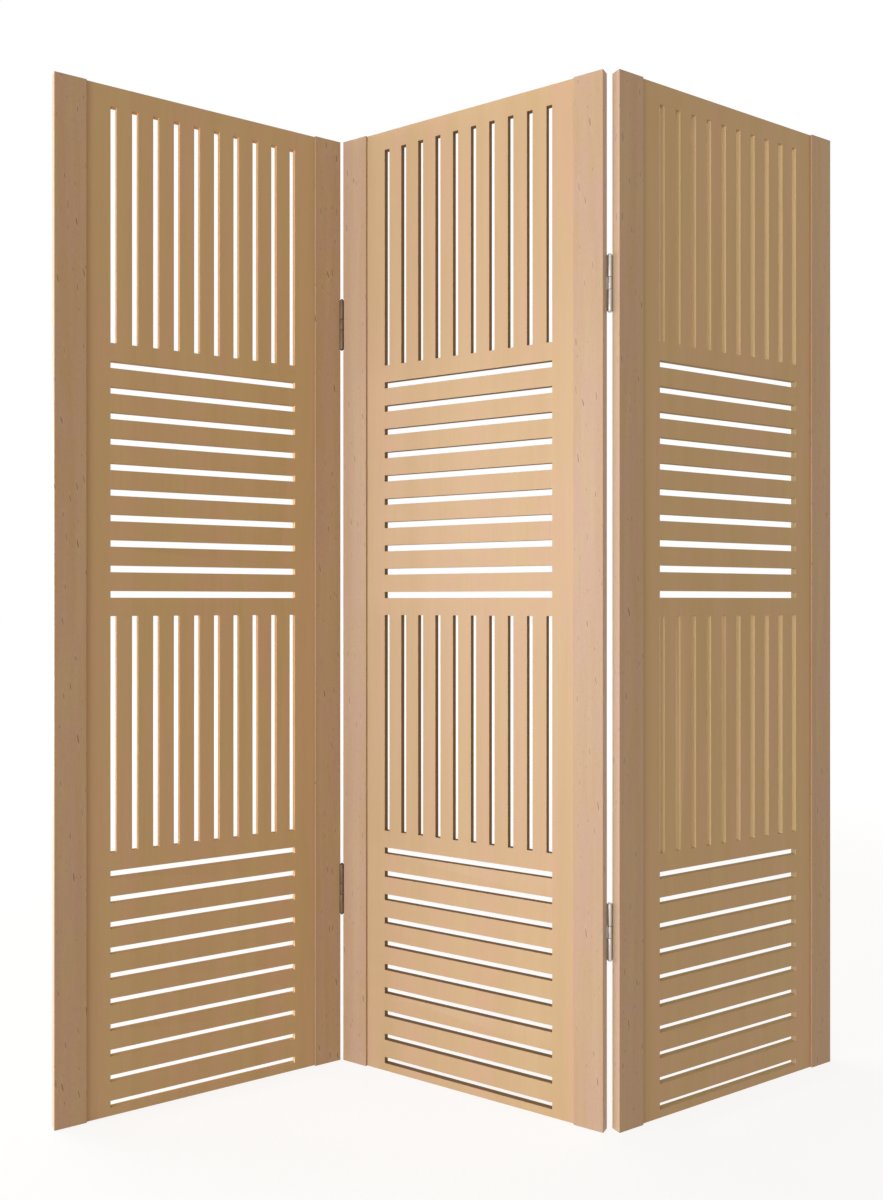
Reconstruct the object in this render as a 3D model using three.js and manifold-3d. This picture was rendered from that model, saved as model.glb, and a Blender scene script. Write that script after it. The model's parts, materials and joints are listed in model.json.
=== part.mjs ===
// A folding screen of three hinged leaves, standing in a zigzag.
//
// Each leaf is a pair of upright stiles with a thinner slotted board held in
// grooves between them. Butt hinges join the leaves: one pair is screwed to
// the edges of the stiles at the left joint, and one pair is let into the
// backs of the stiles at the right joint.
//
// Units are millimetres, +Z is up, and the screen is seen from the -Y side.
// A leaf has its own frame: x runs across it from its left edge, y runs from
// its front face to its back face, and z is its height.

import * as THREE from 'three';
import { mergeVertices } from 'three/addons/utils/BufferGeometryUtils.js';
import Module from 'manifold-3d';

const wasm = await Module();
wasm.setup();

// ---------------------------------------------------------------- dimensions

// Leaves
const LEAF_HEIGHT = 1700;
const LEAF_WIDTH = 505;
const LEAF_TURN = THREE.MathUtils.degToRad(30); // each leaf, out of the screen's line
const FIT_GAP = 0.3; // between pieces that touch

// Stiles
const STILE_WIDTH = 51;
const STILE_THICKNESS = 18;
const STILE_ARRIS = 0.8; // chamfer along the long edges
const GROOVE_DEPTH = 10;

// Slotted boards
const BOARD_THICKNESS = 11;
const SLOTS_IN_A_FIELD = 10;
const FIELDS = 4; // upright, level, upright and level slots, from the top down
const UPRIGHT_SLOT_WIDTH = 10;
const LEVEL_SLOT_HEIGHT = 11;
const FIELD_SIDE_MARGIN = 38.3; // from a stile to the slots
const FIELD_TOP_MARGIN = 33;
const FIELD_BOTTOM_MARGIN = 13.5;
const FIELD_BAR = 30.5; // solid wood between two fields

// Hinges
const UPPER_HINGE_HEIGHT = 1362; // to the middle of the hinge
const LOWER_HINGE_HEIGHT = 317;
const HINGE_LENGTH = 91;
const MIDDLE_KNUCKLE_LENGTH = 19;
const KNUCKLE_GAP = 0.5;
const KNUCKLE_RADIUS = 4;
const PIN_RADIUS = 2;
const PIN_TIP_RADIUS = 3;
const PIN_TIP_LENGTH = 2;
const FLAP_WIDTH = 16; // from the pin's axis
const FLAP_THICKNESS = 1.5;
const FLAP_OFFSET = 0.6; // from the pin's axis to the face of a flap
const FLAP_CORNER_RADIUS = 2.5;
const SWING_CLEARANCE = 0.4; // around a knuckle that turns
const EDGE_HINGE_PROUD = 0.4; // the axis of an edge hinge, in front of the leaves

// Screws
const SCREWS_IN_A_FLAP = 3;
const SCREW_END_DISTANCE = 13; // from the end of a flap
const SCREW_LENGTH = 14;
const SCREW_SHANK_RADIUS = 1.6;
const SCREW_HEAD_RADIUS = 3;
const SCREW_POINT_LENGTH = 3;
const RECESS_WIDTH = 0.9;
const RECESS_SPAN = 3.4;
const RECESS_DEPTH = 1;

// Facets of the round parts
const KNUCKLE_FACETS = 28;
const PIN_FACETS = 20;
const SCREW_FACETS = 12;
const DOME_STEPS = 3;

// --------------------------------------------------------- derived dimensions

const GROOVE_WIDTH = BOARD_THICKNESS + 2 * FIT_GAP;
const BOARD_LEFT = STILE_WIDTH - GROOVE_DEPTH + FIT_GAP;
const BOARD_RIGHT = LEAF_WIDTH - BOARD_LEFT;
const BOARD_FRONT = (STILE_THICKNESS - BOARD_THICKNESS) / 2;

const FIELD_LEFT = STILE_WIDTH + FIELD_SIDE_MARGIN;
const FIELD_RIGHT = LEAF_WIDTH - FIELD_LEFT;
const FIELD_HEIGHT =
  (LEAF_HEIGHT - FIELD_TOP_MARGIN - FIELD_BOTTOM_MARGIN - (FIELDS - 1) * FIELD_BAR) / FIELDS;

const OUTER_KNUCKLE_LENGTH = (HINGE_LENGTH - MIDDLE_KNUCKLE_LENGTH) / 2 - KNUCKLE_GAP;
const BORE_RADIUS = PIN_RADIUS + FIT_GAP;
const FLAP_BACK = FLAP_OFFSET + FLAP_THICKNESS;
const WOOD_OFFSET = FLAP_BACK + FIT_GAP; // from the axis to the wood behind a flap
const SCREW_LINE = (FLAP_WIDTH + KNUCKLE_RADIUS) / 2; // from the axis to the screws

// Where the axis of each kind of hinge lies beyond the edge and face of a leaf
const EDGE_MOUNT = { beyondEdge: WOOD_OFFSET, beyondFace: EDGE_HINGE_PROUD };
const BACK_MOUNT = { beyondEdge: KNUCKLE_RADIUS + FIT_GAP, beyondFace: FLAP_OFFSET };

// ----------------------------------------------------------------- materials

const stileWood = () => new THREE.MeshStandardMaterial({ color: '#dbb79b', roughness: 0.55 });
const boardWood = () => new THREE.MeshStandardMaterial({ color: '#e4be94', roughness: 0.5 });
const steel = () => new THREE.MeshStandardMaterial({ color: '#cfcdc8', roughness: 0.25, metalness: 1 });

// ------------------------------------------------------------ solid modelling

// A closed three.js geometry as a solid that can be joined and cut.
function solidFrom(geometry) {
  const bare = geometry.index ? geometry.clone() : mergeVertices(geometry);
  bare.deleteAttribute('normal');
  bare.deleteAttribute('uv');
  const merged = mergeVertices(bare);
  return new wasm.Manifold(new wasm.Mesh({
    numProp: 3,
    vertProperties: new Float32Array(merged.attributes.position.array),
    triVerts: new Uint32Array(merged.index.array),
  }));
}

// A solid back as a three.js geometry with flat facets.
function geometryFrom(solid) {
  const raw = solid.getMesh();
  const indexed = new THREE.BufferGeometry();
  indexed.setAttribute('position', new THREE.BufferAttribute(raw.vertProperties, 3));
  indexed.setIndex(new THREE.BufferAttribute(raw.triVerts, 1));
  const faceted = indexed.toNonIndexed();
  faceted.computeVertexNormals();
  return faceted;
}

function box(fromX, toX, fromY, toY, fromZ, toZ) {
  const geometry = new THREE.BoxGeometry(toX - fromX, toY - fromY, toZ - fromZ);
  geometry.translate((fromX + toX) / 2, (fromY + toY) / 2, (fromZ + toZ) / 2);
  return geometry;
}

// A cylinder on the z axis, from one height to another.
function uprightCylinder(radius, fromZ, toZ, facets) {
  const geometry = new THREE.CylinderGeometry(radius, radius, toZ - fromZ, facets);
  geometry.rotateX(Math.PI / 2);
  geometry.translate(0, 0, (fromZ + toZ) / 2);
  return geometry;
}

// A cone or cylinder along y, which the flaps and the wood lose to a screw.
function screwHole(nearRadius, farRadius, fromY, toY) {
  const geometry = new THREE.CylinderGeometry(farRadius, nearRadius, toY - fromY, SCREW_FACETS);
  geometry.translate(0, (fromY + toY) / 2, 0);
  return geometry;
}

function outline(points) {
  return new THREE.Shape(points.map(([x, y]) => new THREE.Vector2(x, y)));
}

function mesh(name, geometry, material) {
  const piece = new THREE.Mesh(geometry, material);
  piece.name = name;
  return piece;
}

// --------------------------------------------------------------------- stiles

// The section of a stile whose outer edge is at x = 0 and whose groove opens
// towards +x.
function stileSection() {
  const grooveFront = (STILE_THICKNESS - GROOVE_WIDTH) / 2;
  const grooveBack = STILE_THICKNESS - grooveFront;
  const grooveBottom = STILE_WIDTH - GROOVE_DEPTH;
  return [
    [STILE_ARRIS, 0],
    [STILE_WIDTH - STILE_ARRIS, 0],
    [STILE_WIDTH, STILE_ARRIS],
    [STILE_WIDTH, grooveFront],
    [grooveBottom, grooveFront],
    [grooveBottom, grooveBack],
    [STILE_WIDTH, grooveBack],
    [STILE_WIDTH, STILE_THICKNESS - STILE_ARRIS],
    [STILE_WIDTH - STILE_ARRIS, STILE_THICKNESS],
    [STILE_ARRIS, STILE_THICKNESS],
    [0, STILE_THICKNESS - STILE_ARRIS],
    [0, STILE_ARRIS],
  ];
}

function stileBlank(side) {
  const place = side === 'left' ? (x) => x : (x) => LEAF_WIDTH - x;
  const section = stileSection().map(([x, y]) => [place(x), y]);
  return new THREE.ExtrudeGeometry(outline(section), { depth: LEAF_HEIGHT, bevelEnabled: false });
}

function stile(name, side, hingeSeats) {
  let wood = solidFrom(stileBlank(side));
  for (const seat of hingeSeats) {
    for (const cutter of seatCutters(seat)) {
      wood = wood.subtract(solidFrom(cutter.applyMatrix4(seatPlace(seat))));
    }
  }
  return mesh(name, geometryFrom(wood), stileWood());
}

// -------------------------------------------------------------- slotted board

// Slots run right through the board, past both of its faces.
function slot(left, bottom, width, height) {
  return box(left, left + width, 0, STILE_THICKNESS, bottom, bottom + height);
}

function uprightSlots(fieldBottom) {
  const lastLeft = FIELD_RIGHT - UPRIGHT_SLOT_WIDTH;
  const pitch = (lastLeft - FIELD_LEFT) / (SLOTS_IN_A_FIELD - 1);
  return Array.from({ length: SLOTS_IN_A_FIELD }, (_, i) =>
    slot(FIELD_LEFT + i * pitch, fieldBottom, UPRIGHT_SLOT_WIDTH, FIELD_HEIGHT));
}

function levelSlots(fieldBottom) {
  const pitch = (FIELD_HEIGHT - LEVEL_SLOT_HEIGHT) / (SLOTS_IN_A_FIELD - 1);
  return Array.from({ length: SLOTS_IN_A_FIELD }, (_, i) =>
    slot(FIELD_LEFT, fieldBottom + i * pitch, FIELD_RIGHT - FIELD_LEFT, LEVEL_SLOT_HEIGHT));
}

function slottedBoard(name) {
  const boardBack = BOARD_FRONT + BOARD_THICKNESS;
  let wood = solidFrom(box(BOARD_LEFT, BOARD_RIGHT, BOARD_FRONT, boardBack, 0, LEAF_HEIGHT));
  for (let field = 0; field < FIELDS; field += 1) {
    const fieldBottom = FIELD_BOTTOM_MARGIN + field * (FIELD_HEIGHT + FIELD_BAR);
    const isLevel = field % 2 === 0; // the lowest field has level slots
    for (const opening of isLevel ? levelSlots(fieldBottom) : uprightSlots(fieldBottom)) {
      wood = wood.subtract(solidFrom(opening));
    }
  }
  return mesh(name, geometryFrom(wood), boardWood());
}

// ------------------------------------------------------------- hinges, screws
//
// A flap is drawn with the pin's axis on the z axis. It reaches towards -x,
// and the wood that it is screwed to lies on its +y side.

function screwHeights() {
  const reach = HINGE_LENGTH / 2 - SCREW_END_DISTANCE;
  return Array.from({ length: SCREWS_IN_A_FLAP }, (_, i) =>
    -reach + (i * 2 * reach) / (SCREWS_IN_A_FLAP - 1));
}

// The knuckles of each flap, as ranges of height about the middle of the hinge
function knuckleRanges(kind) {
  const middleEnd = MIDDLE_KNUCKLE_LENGTH / 2;
  const end = HINGE_LENGTH / 2;
  return kind === 'middle'
    ? [[-middleEnd, middleEnd]]
    : [[-end, -end + OUTER_KNUCKLE_LENGTH], [end - OUTER_KNUCKLE_LENGTH, end]];
}

// The room that the other flap's knuckles turn in
function swingRanges(kind) {
  const other = knuckleRanges(kind === 'middle' ? 'outer' : 'middle');
  const spare = 2 * SWING_CLEARANCE; // past the ends of the hinge
  return other.map(([from, to]) => [
    from <= -HINGE_LENGTH / 2 ? from - spare : from - KNUCKLE_GAP,
    to >= HINGE_LENGTH / 2 ? to + spare : to + KNUCKLE_GAP,
  ]);
}

// A flat plate with its two far corners rounded
function flapPlate() {
  const end = HINGE_LENGTH / 2;
  const shape = new THREE.Shape();
  shape.moveTo(0, -end);
  shape.lineTo(0, end);
  shape.lineTo(-FLAP_WIDTH + FLAP_CORNER_RADIUS, end);
  shape.quadraticCurveTo(-FLAP_WIDTH, end, -FLAP_WIDTH, end - FLAP_CORNER_RADIUS);
  shape.lineTo(-FLAP_WIDTH, -end + FLAP_CORNER_RADIUS);
  shape.quadraticCurveTo(-FLAP_WIDTH, -end, -FLAP_WIDTH + FLAP_CORNER_RADIUS, -end);
  const geometry = new THREE.ExtrudeGeometry(shape, {
    depth: FLAP_THICKNESS,
    bevelEnabled: false,
    curveSegments: 3,
  });
  geometry.rotateX(Math.PI / 2);
  geometry.translate(0, FLAP_BACK, 0);
  return geometry;
}

function hingeFlap(kind) {
  const end = HINGE_LENGTH / 2;
  let flap = solidFrom(flapPlate());
  for (const [from, to] of swingRanges(kind)) {
    const swing = uprightCylinder(KNUCKLE_RADIUS + SWING_CLEARANCE, from, to, KNUCKLE_FACETS);
    flap = flap.subtract(solidFrom(swing));
    flap = flap.subtract(solidFrom(box(-KNUCKLE_RADIUS, KNUCKLE_RADIUS, 0, FLAP_BACK * 2, from, to)));
  }
  for (const [from, to] of knuckleRanges(kind)) {
    flap = flap.add(solidFrom(uprightCylinder(KNUCKLE_RADIUS, from, to, KNUCKLE_FACETS)));
  }
  flap = flap.subtract(solidFrom(uprightCylinder(BORE_RADIUS, -end * 2, end * 2, PIN_FACETS)));
  for (const height of screwHeights()) {
    const sink = screwHole(
      SCREW_HEAD_RADIUS + SWING_CLEARANCE,
      SCREW_SHANK_RADIUS + SWING_CLEARANCE,
      FLAP_OFFSET,
      FLAP_BACK,
    );
    flap = flap.subtract(solidFrom(sink.translate(-SCREW_LINE, 0, height)));
  }
  return geometryFrom(flap);
}

// The pin, with a domed tip past each end of the knuckles
function hingePin() {
  const shoulder = HINGE_LENGTH / 2 + FIT_GAP;
  const dome = Array.from({ length: DOME_STEPS + 1 }, (_, i) => {
    const angle = (i / DOME_STEPS) * (Math.PI / 2);
    return [PIN_TIP_RADIUS * Math.sin(angle), shoulder + PIN_TIP_LENGTH * Math.cos(angle)];
  });
  const upperHalf = [...dome, [PIN_RADIUS, shoulder]];
  const lowerHalf = upperHalf.map(([r, z]) => [r, -z]);
  const profile = [...lowerHalf, ...upperHalf.reverse()];
  const points = profile.map(([r, z]) => new THREE.Vector2(r, z));
  const geometry = new THREE.LatheGeometry(points, PIN_FACETS);
  geometry.rotateX(Math.PI / 2);
  return geometryFrom(solidFrom(geometry));
}

// A countersunk wood screw with a cross recess. Its head lies at y = 0 and it
// points towards +y.
function woodScrew() {
  const profile = [
    [0, 0],
    [SCREW_HEAD_RADIUS, 0],
    [SCREW_SHANK_RADIUS, FLAP_THICKNESS],
    [SCREW_SHANK_RADIUS, SCREW_LENGTH - SCREW_POINT_LENGTH],
    [0, SCREW_LENGTH],
  ];
  const points = profile.map(([r, y]) => new THREE.Vector2(r, y));
  const arm = RECESS_SPAN / 2;
  const half = RECESS_WIDTH / 2;
  return geometryFrom(solidFrom(new THREE.LatheGeometry(points, SCREW_FACETS))
    .subtract(solidFrom(box(-arm, arm, -RECESS_DEPTH, RECESS_DEPTH, -half, half)))
    .subtract(solidFrom(box(-half, half, -RECESS_DEPTH, RECESS_DEPTH, -arm, arm))));
}

// What a stile loses to one hinge, drawn as a flap is drawn
function seatCutters(seat) {
  const end = HINGE_LENGTH / 2;
  const pilotEnd = FLAP_OFFSET + SCREW_LENGTH + FIT_GAP;
  const pilotRadius = SCREW_SHANK_RADIUS + FIT_GAP;
  const cutters = screwHeights().map((height) =>
    screwHole(pilotRadius, pilotRadius, FLAP_OFFSET, pilotEnd).translate(-SCREW_LINE, 0, height));
  if (seat.mount === BACK_MOUNT) {
    const farEdge = -FLAP_WIDTH - FIT_GAP;
    cutters.push(box(farEdge, KNUCKLE_RADIUS, -WOOD_OFFSET, WOOD_OFFSET, -end - FIT_GAP, end + FIT_GAP));
  } else {
    const tipEnd = end + FIT_GAP + PIN_TIP_LENGTH + SWING_CLEARANCE;
    const notchRadius = KNUCKLE_RADIUS + SWING_CLEARANCE;
    cutters.push(uprightCylinder(notchRadius, -tipEnd, tipEnd, KNUCKLE_FACETS));
  }
  return cutters;
}

// Where a hinge sits in its leaf's frame
function seatPlace(seat) {
  return new THREE.Matrix4()
    .makeTranslation(seat.axis.x, seat.axis.y, seat.height)
    .multiply(new THREE.Matrix4().makeRotationZ(seat.turn))
    .multiply(new THREE.Matrix4().makeRotationX(seat.flip));
}

// One flap and its screws, and the pin where the seat carries it
function hingeHalf(seat) {
  const half = new THREE.Group();
  half.position.set(seat.axis.x, seat.axis.y, seat.height);
  half.rotation.z = seat.turn;
  const flipped = new THREE.Group();
  flipped.rotation.x = seat.flip;
  half.add(flipped);

  const stem = `${seat.hinge}_${seat.owner}`;
  flipped.add(mesh(`${stem}_flap`, hingeFlap(seat.knuckles), steel()));
  screwHeights().forEach((height, i) => {
    const screw = mesh(`${stem}_screw_${i + 1}`, woodScrew(), steel());
    screw.position.set(-SCREW_LINE, FLAP_OFFSET, height);
    flipped.add(screw);
  });
  if (seat.knuckles === 'outer') {
    flipped.add(mesh(`${seat.hinge}_pin`, hingePin(), steel()));
  }
  return half;
}

// --------------------------------------------------------------------- leaves

const TOWARDS_BACK = -Math.PI / 2; // an edge hinge's flap, laid along the edge
const FLIP = Math.PI;

// The axis of a hinge beyond the left or right edge of a leaf, at its front
// face or its back face
function axisPlace(edge, mount) {
  const x = edge === 'left' ? -mount.beyondEdge : LEAF_WIDTH + mount.beyondEdge;
  const y = mount === EDGE_MOUNT ? -mount.beyondFace : STILE_THICKNESS + mount.beyondFace;
  return new THREE.Vector3(x, y, 0);
}

// The upper and lower hinge seats on one edge of a leaf
function hingeSeats(joint, owner, edge, mount, knuckles) {
  const onLeft = edge === 'left';
  const edgeHinge = mount === EDGE_MOUNT;
  const backTurn = onLeft ? Math.PI : 0;
  return [['upper', UPPER_HINGE_HEIGHT], ['lower', LOWER_HINGE_HEIGHT]].map(([level, height]) => ({
    hinge: `${joint}_${level}_hinge`,
    owner,
    height,
    mount,
    knuckles,
    axis: axisPlace(edge, mount),
    turn: edgeHinge ? TOWARDS_BACK : backTurn,
    flip: onLeft ? 0 : FLIP,
  }));
}

function leaf(name, turn, leftSeats, rightSeats) {
  const group = new THREE.Group();
  group.rotation.z = turn;
  group.add(stile(`${name}_left_stile`, 'left', leftSeats));
  group.add(stile(`${name}_right_stile`, 'right', rightSeats));
  group.add(slottedBoard(`${name}_slotted_board`));
  for (const seat of [...leftSeats, ...rightSeats]) {
    group.add(hingeHalf(seat));
  }
  return group;
}

// Moves a leaf so that a point of its own frame comes to a point of the screen.
function bringTo(group, ownPoint, screenPoint) {
  const turned = ownPoint.clone().applyEuler(group.rotation);
  group.position.copy(screenPoint).sub(turned);
}

// --------------------------------------------------------------------- screen

function foldingScreen() {
  const leftLeaf = leaf('left_leaf', LEAF_TURN, [],
    hingeSeats('left', 'leaf', 'right', EDGE_MOUNT, 'middle'));
  const centreLeaf = leaf('centre_leaf', -LEAF_TURN,
    hingeSeats('left', 'centre', 'left', EDGE_MOUNT, 'outer'),
    hingeSeats('right', 'centre', 'right', BACK_MOUNT, 'outer'));
  const rightLeaf = leaf('right_leaf', LEAF_TURN,
    hingeSeats('right', 'leaf', 'left', BACK_MOUNT, 'middle'), []);

  const leftAxis = axisPlace('left', EDGE_MOUNT).applyEuler(centreLeaf.rotation);
  const rightAxis = axisPlace('right', BACK_MOUNT).applyEuler(centreLeaf.rotation);
  bringTo(leftLeaf, axisPlace('right', EDGE_MOUNT), leftAxis);
  bringTo(rightLeaf, axisPlace('left', BACK_MOUNT), rightAxis);

  const screen = new THREE.Group();
  screen.add(leftLeaf, centreLeaf, rightLeaf);
  return screen;
}

// The screen stands on z = 0, centred on the origin.
function centred(screen) {
  screen.updateMatrixWorld(true);
  const middle = new THREE.Box3().setFromObject(screen, true).getCenter(new THREE.Vector3());
  screen.position.set(-middle.x, -middle.y, 0);
  return screen;
}

const group = centred(foldingScreen());

export default group;
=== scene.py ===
"""A three-leaf folding screen with slotted boards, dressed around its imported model.

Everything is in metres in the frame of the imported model: +Z is up and the
screen is seen from the -Y side. Each leaf stands 30 degrees out of the screen's
line, so each leaf's woods are patterned in that leaf's own frame.
"""

import json
import math
from collections import namedtuple

import bmesh
import bpy
import numpy as np
from mathutils import Matrix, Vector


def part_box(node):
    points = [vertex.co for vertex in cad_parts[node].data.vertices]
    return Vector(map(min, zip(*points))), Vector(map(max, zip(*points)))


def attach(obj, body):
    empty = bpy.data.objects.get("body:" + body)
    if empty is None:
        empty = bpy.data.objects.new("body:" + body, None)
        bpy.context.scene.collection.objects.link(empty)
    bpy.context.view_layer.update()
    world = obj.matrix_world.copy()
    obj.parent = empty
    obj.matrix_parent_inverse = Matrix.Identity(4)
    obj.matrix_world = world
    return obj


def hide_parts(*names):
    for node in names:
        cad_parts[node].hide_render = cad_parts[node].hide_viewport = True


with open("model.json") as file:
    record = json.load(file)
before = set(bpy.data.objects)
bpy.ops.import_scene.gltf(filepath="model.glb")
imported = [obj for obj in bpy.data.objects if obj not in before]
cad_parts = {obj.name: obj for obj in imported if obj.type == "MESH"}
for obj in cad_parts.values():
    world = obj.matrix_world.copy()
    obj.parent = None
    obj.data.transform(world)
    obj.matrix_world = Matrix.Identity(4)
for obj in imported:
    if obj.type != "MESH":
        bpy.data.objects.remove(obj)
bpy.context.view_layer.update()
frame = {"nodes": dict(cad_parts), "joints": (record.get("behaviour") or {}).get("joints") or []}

bl_info = {
    "name": "Slotted folding screen",
    "version": (1, 0, 0),
    "blender": (4, 5, 0),
    "location": "3D View > Sidebar > Folding screen",
    "description": "Dresses a three-leaf folding screen with wood, steel and a studio",
    "category": "Object",
}

MM = 0.001
LEAVES = ("left", "centre", "right")
SIDES = ("left", "right")
LEVELS = ("upper", "lower")


def screen_colour(code):
    """The linear colour that a screen shows for a code such as #c8a27a."""
    values = np.array([int(code[i:i + 2], 16) for i in (1, 3, 5)]) / 255
    return tuple(np.where(values > 0.04045, ((values + 0.055) / 1.055) ** 2.4, values / 12.92))


def rgba(colour, strength=1.0):
    return (*[part * strength for part in colour], 1.0)


# --------------------------------------------------------------- leaf frames


def box_centre(node):
    low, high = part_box(node)
    return (np.array(low) + np.array(high)) / 2


def leaf_frame(leaf):
    """The middle of a leaf on the floor, and how far the leaf is turned about +Z."""
    left, right = (box_centre(f"{leaf}_leaf_{side}_stile") for side in SIDES)
    across = right - left
    middle = (left + right) / 2
    return (middle[0], middle[1], 0.0), math.atan2(across[1], across[0])


# ------------------------------------------------------------- shader maths


class Value:
    """A number in a graph. An expression on values adds its Math nodes."""

    def __init__(self, graph, socket):
        self.graph = graph
        self.socket = socket

    def maths(self, operation, *others):
        terms = dict(enumerate((self, *others)))
        return self.graph.value("ShaderNodeMath", {"operation": operation}, terms)

    def __add__(self, other):
        return self.maths("ADD", other)

    __radd__ = __add__

    def __sub__(self, other):
        return self.maths("SUBTRACT", other)

    def __rsub__(self, other):
        return self.maths("MULTIPLY_ADD", -1.0, other)

    def __mul__(self, other):
        return self.maths("MULTIPLY", other)

    def __truediv__(self, other):
        return self.maths("DIVIDE", other)

    def __abs__(self):
        return self.maths("ABSOLUTE")

    def over(self, other):
        """1 where the value is greater than the other, and 0 elsewhere."""
        return self.maths("GREATER_THAN", other)

    def ramp(self, start, end):
        """A smooth rise from 0 at start to 1 at end."""
        settings = {"interpolation_type": "SMOOTHSTEP"}
        sockets = {"Value": self, "From Min": start, "From Max": end}
        return self.graph.value("ShaderNodeMapRange", settings, sockets)


class Graph:
    """The nodes of one material or world."""

    def __init__(self, owner):
        owner.use_nodes = True
        self.owner = owner
        self.tree = owner.node_tree
        self.tree.nodes.clear()

    def node(self, kind, settings=None, sockets=None):
        """Adds a node: its settings first, then the values or links of its sockets."""
        made = self.tree.nodes.new(kind)
        for name, setting in (settings or {}).items():
            setattr(made, name, setting)
        for key, given in (sockets or {}).items():
            if isinstance(given, Value):
                given = given.socket
            if isinstance(given, bpy.types.NodeSocket):
                self.tree.links.new(given, made.inputs[key])
            else:
                made.inputs[key].default_value = given
        return made

    def value(self, kind, settings=None, sockets=None):
        return Value(self, self.node(kind, settings, sockets).outputs[0])

    def object_place(self):
        """Where a point lies in its object's own frame, in metres."""
        return self.node("ShaderNodeTexCoord").outputs["Object"]

    def mix(self, share, first, second):
        """A colour between two colours."""
        sockets = {0: share, 6: first, 7: second}
        return self.node("ShaderNodeMix", {"data_type": "RGBA"}, sockets).outputs[2]

    def layered(self, base, *layers):
        """A base colour with further colours laid over it, each by its share."""
        tone = rgba(base)
        for share, colour in layers:
            tone = self.mix(share, tone, rgba(colour))
        return tone

    def times(self, vector, factors):
        settings = {"operation": "MULTIPLY"}
        return self.node("ShaderNodeVectorMath", settings, {0: vector, 1: factors}).outputs[0]

    def plus(self, vector, offset):
        settings = {"operation": "ADD"}
        return self.node("ShaderNodeVectorMath", settings, {0: vector, 1: offset}).outputs[0]

    def axes(self, vector):
        parts = self.node("ShaderNodeSeparateXYZ", sockets={0: vector})
        return [Value(self, socket) for socket in parts.outputs]

    def vector(self, x, y, z):
        return self.node("ShaderNodeCombineXYZ", sockets={0: x, 1: y, 2: z}).outputs[0]

    def noise(self, point, across, along, detail=2.0, roughness=0.5):
        """Soft noise with so many features a millimetre across and along the grain."""
        stretched = self.times(point, (across, across, along))
        sockets = {"Vector": stretched, "Scale": 1.0, "Detail": detail, "Roughness": roughness}
        return self.value("ShaderNodeTexNoise", sockets=sockets)

    def swayed(self, point, across, along, reach):
        """The point moved sideways by up to half the reach, so that straight grain
        wanders slowly, and how far it moved."""
        x, y, z = self.axes(point)
        drift = (self.noise(point, across, along, detail=1.0) - 0.5) * reach
        return self.vector(x + drift, y + drift * GRAIN_DEPTH_SWAY, z), drift

    def cells(self, vector):
        """Distance to the nearest of the points scattered over x and y, and that
        point's own three random numbers."""
        settings = {"voronoi_dimensions": "2D"}
        made = self.node("ShaderNodeTexVoronoi", settings, {"Vector": vector, "Scale": 1.0})
        return Value(self, made.outputs["Distance"]), self.axes(made.outputs["Color"])

    def leaf_millimetres(self, leaf):
        """Where a point lies in its leaf's own frame, in millimetres."""
        middle, turn = leaf_frame(leaf)
        place = self.object_place()
        sockets = {"Vector": place, "Location": middle, "Rotation": (0.0, 0.0, turn)}
        own = self.node("ShaderNodeMapping", {"vector_type": "TEXTURE"}, sockets).outputs[0]
        return self.times(own, (1 / MM,) * 3)

    def blend(self, share, first, second):
        """A shader between two shaders."""
        sockets = {0: share, 1: first.outputs[0], 2: second.outputs[0]}
        return self.node("ShaderNodeMixShader", sockets=sockets)

    def surface(self, sockets, height):
        """Ends the material in one Principled shader with a relief in millimetres."""
        bump = {"Height": height * MM, "Distance": 1.0, "Strength": 1.0}
        sockets["Normal"] = self.node("ShaderNodeBump", sockets=bump).outputs[0]
        shader = self.node("ShaderNodeBsdfPrincipled", sockets=sockets)
        self.node("ShaderNodeOutputMaterial", sockets={0: shader.outputs[0]})
        return self.owner


# ------------------------------------------------------------------- finishes

# Where the woods change, in millimetres of a leaf's own frame
OUTER_EDGE = (251.9, 252.3)  # where a stile's outer edge starts, from the leaf's middle
SAWN_DEPTH = (4.8, 5.2)  # where its slots' walls end, from the middle of a board
SLOT_END = 162.8  # where the walls at the ends of the level slots start
FIELD_PITCH = 421.0  # from one field of slots to the next
LEVEL_SHARE = 0.49  # of two fields' height, from the floor up, with level slots
STILE_STEP = (137.0, 61.0, 911.0)  # shift of the grain from one stile to the next
BOARD_STEP = (173.0, 47.0, 733.0)  # and from one board to the next

# How the grain and the flecks lie
GRAIN_DEPTH_SWAY = 0.6  # sway through a leaf's depth, to 1 across it
FLECK_DEPTH_SLOPE = 0.8  # how far a fleck moves across for each millimetre of depth
FLECK_LEAN = 0.13  # and for each millimetre of height
SECOND_NET = 31.0  # shift between the nets of large and small flecks

# The cells of the flecks' nets in millimetres, and a mark's reach to 1 for its cell
LARGE_FLECKS = {"width": 12.0, "length": 110.0, "size": 0.05}
SMALL_FLECKS = {"width": 6.5, "length": 34.0, "size": 0.06}
RAYS = {"width": 2.4, "length": 10.0, "size": 0.2}
FLECK_SIZES = (0.6, 1.4)  # reach of the smallest and the largest mark of a net
FLECK_EDGE = (0.7, 1.3)  # where a mark starts to fade and is gone
RIM_REACH = 3.5  # where its rim is gone
SMALL_FLECK_SHARE = 0.1  # of their cells
SMALL_FLECK_SHADE = 0.7
RAY_SHARE = 0.5


def flecks(g, across, up, width, length, size):
    """Upright spindle-shaped marks, one in each cell of a scattered net: how dark
    the mark is at a point, how close the point is to it, and its random numbers."""
    reach, fate = g.cells(g.vector(across * (1 / width), up * (1 / length), 0.0))
    smallest, largest = FLECK_SIZES
    reach = reach / (smallest + fate[1] * (largest - smallest))
    inside, outside = FLECK_EDGE
    mark = 1 - reach.ramp(size * inside, size * outside)
    rim = 1 - reach.ramp(size, size * RIM_REACH)
    return mark, rim, fate


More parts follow.
